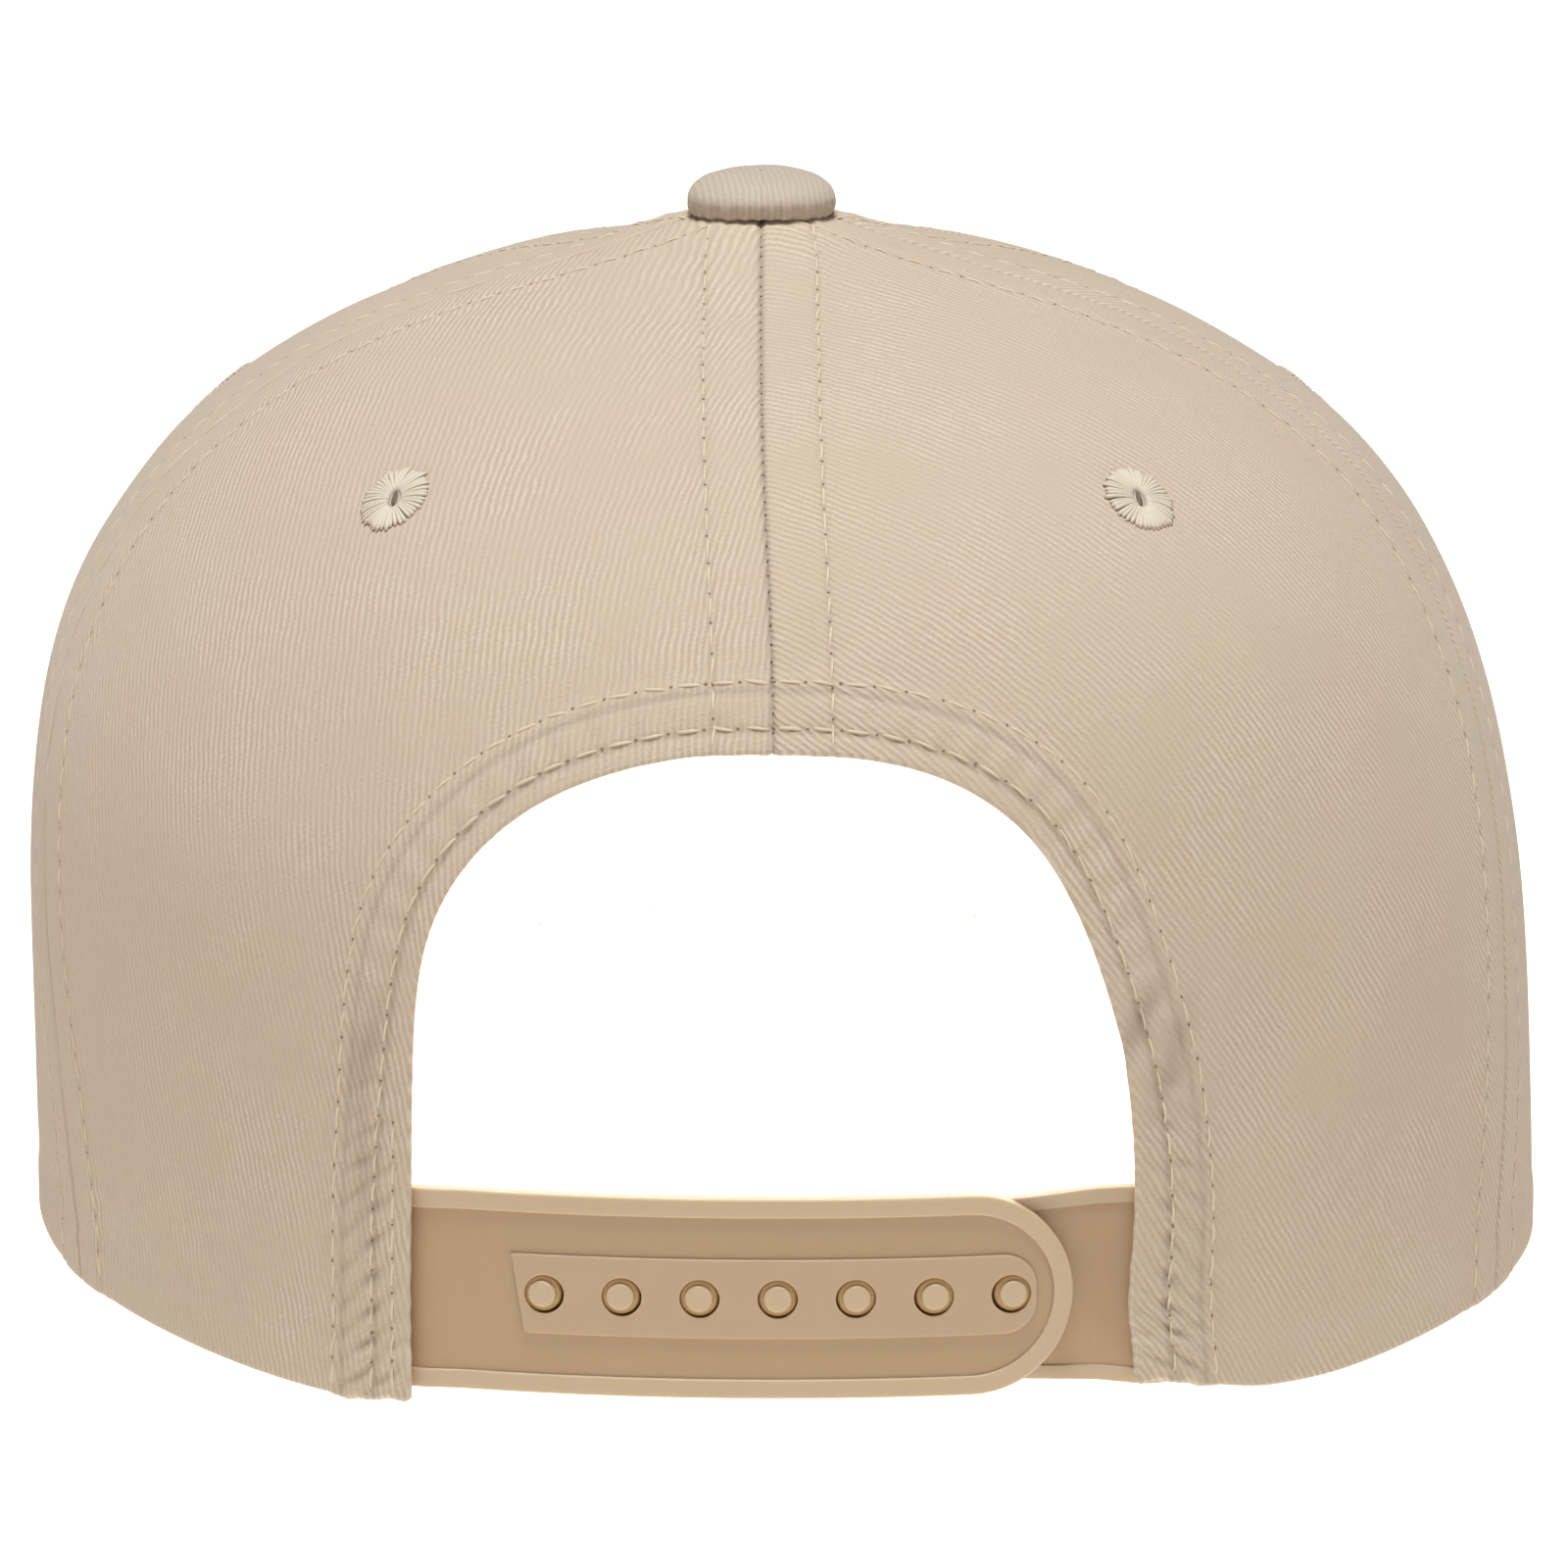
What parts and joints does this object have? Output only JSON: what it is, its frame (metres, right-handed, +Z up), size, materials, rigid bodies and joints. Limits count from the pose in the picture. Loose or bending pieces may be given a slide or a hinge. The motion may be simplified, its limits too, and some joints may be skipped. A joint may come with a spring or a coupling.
{
  "type": "baseball cap",
  "caption": "Structured baseball cap with stitched twill panels, a stiff visor, a covered top button and a plastic snap strap across an arched back opening.",
  "frame": {"origin": "centre of the head opening, in the rim plane", "axes": "+Z up through the top button, -Y towards the visor, +X towards the wearer's left"},
  "size_m": [0.1832, 0.2565, 0.1283],
  "materials": {
    "twill": "brushed cotton twill",
    "eyelet_thread": "satin stitched thread",
    "buckram": "stiffened open weave",
    "seam_tape": "plain woven tape",
    "sweatband": "cotton twill",
    "padding": "soft non-woven",
    "visor_board": "stiff sheet",
    "button_metal": "plated",
    "strap_plastic": "moulded, soft sheen"
  },
  "bodies": {
    "crown": {"back_left_eyelet": "eyelet_thread", "back_left_panel": "twill", "back_opening_facing": "twill", "back_right_eyelet": "eyelet_thread", "back_right_panel": "twill", "button_back": "button_metal", "button_cover": "twill", "button_shell": "button_metal", "centre_back_tape": "seam_tape", "centre_front_tape": "seam_tape", "front_left_buckram": "buckram", "front_left_eyelet": "eyelet_thread", "front_left_panel": "twill", "front_right_buckram": "buckram", "front_right_eyelet": "eyelet_thread", "front_right_panel": "twill", "hole_strap_root": "strap_plastic", "peg_strap_root": "strap_plastic", "side_back_left_tape": "seam_tape", "side_back_right_tape": "seam_tape", "side_front_left_tape": "seam_tape", "side_front_right_tape": "seam_tape", "side_left_eyelet": "eyelet_thread", "side_left_panel": "twill", "side_right_eyelet": "eyelet_thread", "side_right_panel": "twill", "sweatband_backing": "sweatband", "sweatband_face": "sweatband", "sweatband_padding": "padding", "visor_board": "visor_board", "visor_top_cover": "twill", "visor_under_cover": "twill"},
    "hole_strap": {"hole_strap": "strap_plastic"},
    "peg_strap": {"peg_strap": "strap_plastic"}
  },
  "joints": [
    {"name": "hole_strap_bend", "type": "hinge", "parent": "crown", "child": "hole_strap", "pos_m": [0.0406, 0.08136, 0.01375], "axis": [0, 0, -1], "range_deg": [0, 75], "stiffness_Nm_per_rad": 0.02},
    {"name": "peg_strap_bend", "type": "hinge", "parent": "crown", "child": "peg_strap", "pos_m": [-0.0406, 0.07951, 0.01375], "axis": [0, 0, -1], "range_deg": [0, 50], "stiffness_Nm_per_rad": 0.02}
  ]
}
